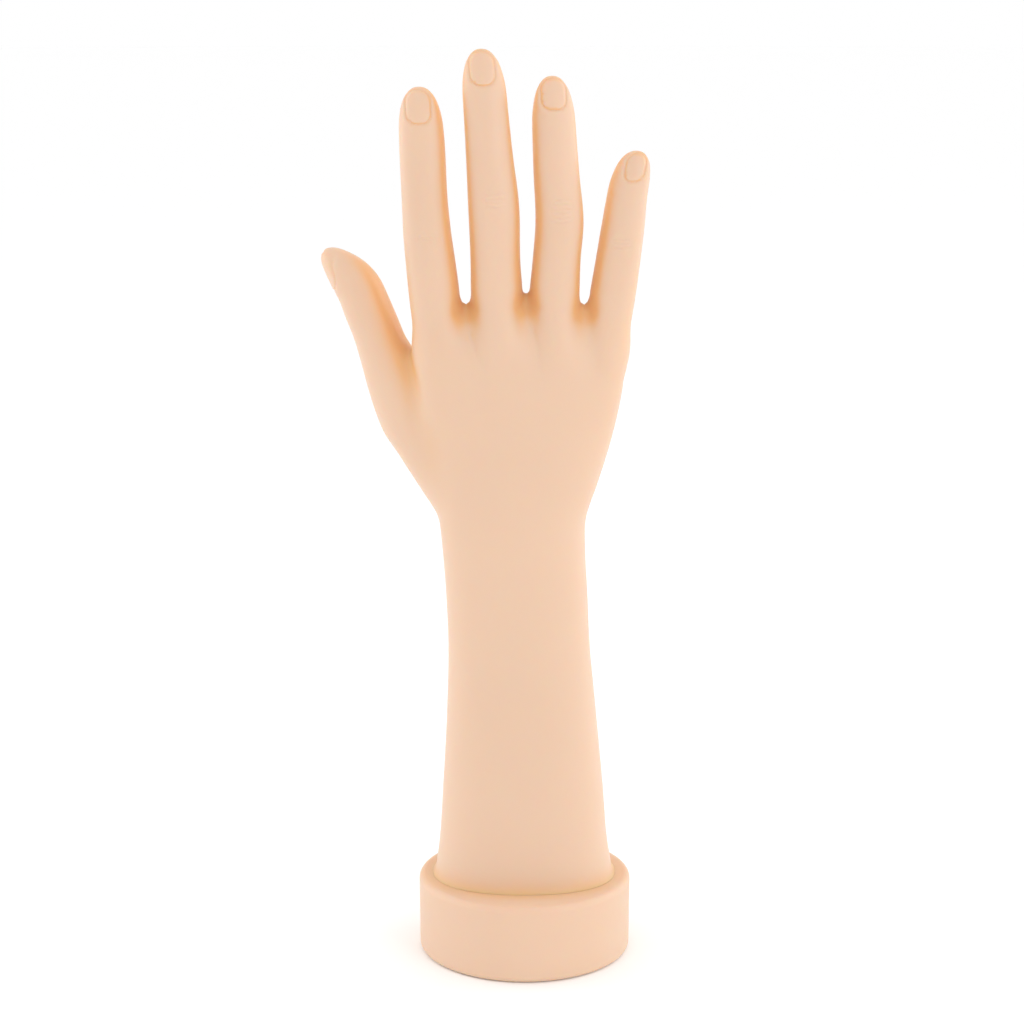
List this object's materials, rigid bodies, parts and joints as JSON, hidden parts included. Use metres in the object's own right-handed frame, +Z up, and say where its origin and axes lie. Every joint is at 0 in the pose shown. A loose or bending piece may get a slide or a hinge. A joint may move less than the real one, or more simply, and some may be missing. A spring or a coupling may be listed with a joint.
{
  "type": "display hand on a base",
  "caption": "Life-size right hand and forearm of soft vinyl, fingers up, standing on a round weighted base; the arm turns on the base and lifts off it.",
  "frame": {"origin": "middle of the base's underside, on the surface it stands on", "axes": "+Z up along the forearm towards the fingertips; the back of the hand faces -Y and the palm +Y; the thumb is on the -X side"},
  "size_m": [0.1089, 0.0738, 0.31],
  "materials": {
    "skin_vinyl": "satin",
    "base_vinyl": "satin",
    "black_plastic": "matte",
    "white_plastic": "satin",
    "steel": "satin",
    "zinc_steel": "satin",
    "pad_rubber": "matte"
  },
  "bodies": {
    "base": {"base_shell": "base_vinyl", "ballast_ring": "steel", "base_plate": "black_plastic", "base_screws": "zinc_steel", "foot_pad": "pad_rubber"},
    "swivel": {"swivel_bush": "white_plastic", "retaining_clip": "steel"},
    "arm": {"spigot": "zinc_steel", "foot_plug": "black_plastic", "spigot_washer": "zinc_steel", "spigot_screw": "zinc_steel", "forearm_skin": "skin_vinyl", "palm_skin": "skin_vinyl", "thumb_skin": "skin_vinyl", "index_finger_skin": "skin_vinyl", "middle_finger_skin": "skin_vinyl", "ring_finger_skin": "skin_vinyl", "little_finger_skin": "skin_vinyl"}
  },
  "joints": [
    {"name": "arm_turn", "type": "hinge", "parent": "base", "child": "swivel", "pos_m": [0, 0, 0.022], "axis": [0, 0, 1], "continuous": true},
    {"name": "arm_lift", "type": "slide", "parent": "swivel", "child": "arm", "axis": [0, 0, 1], "range_m": [0, 0.02]}
  ]
}
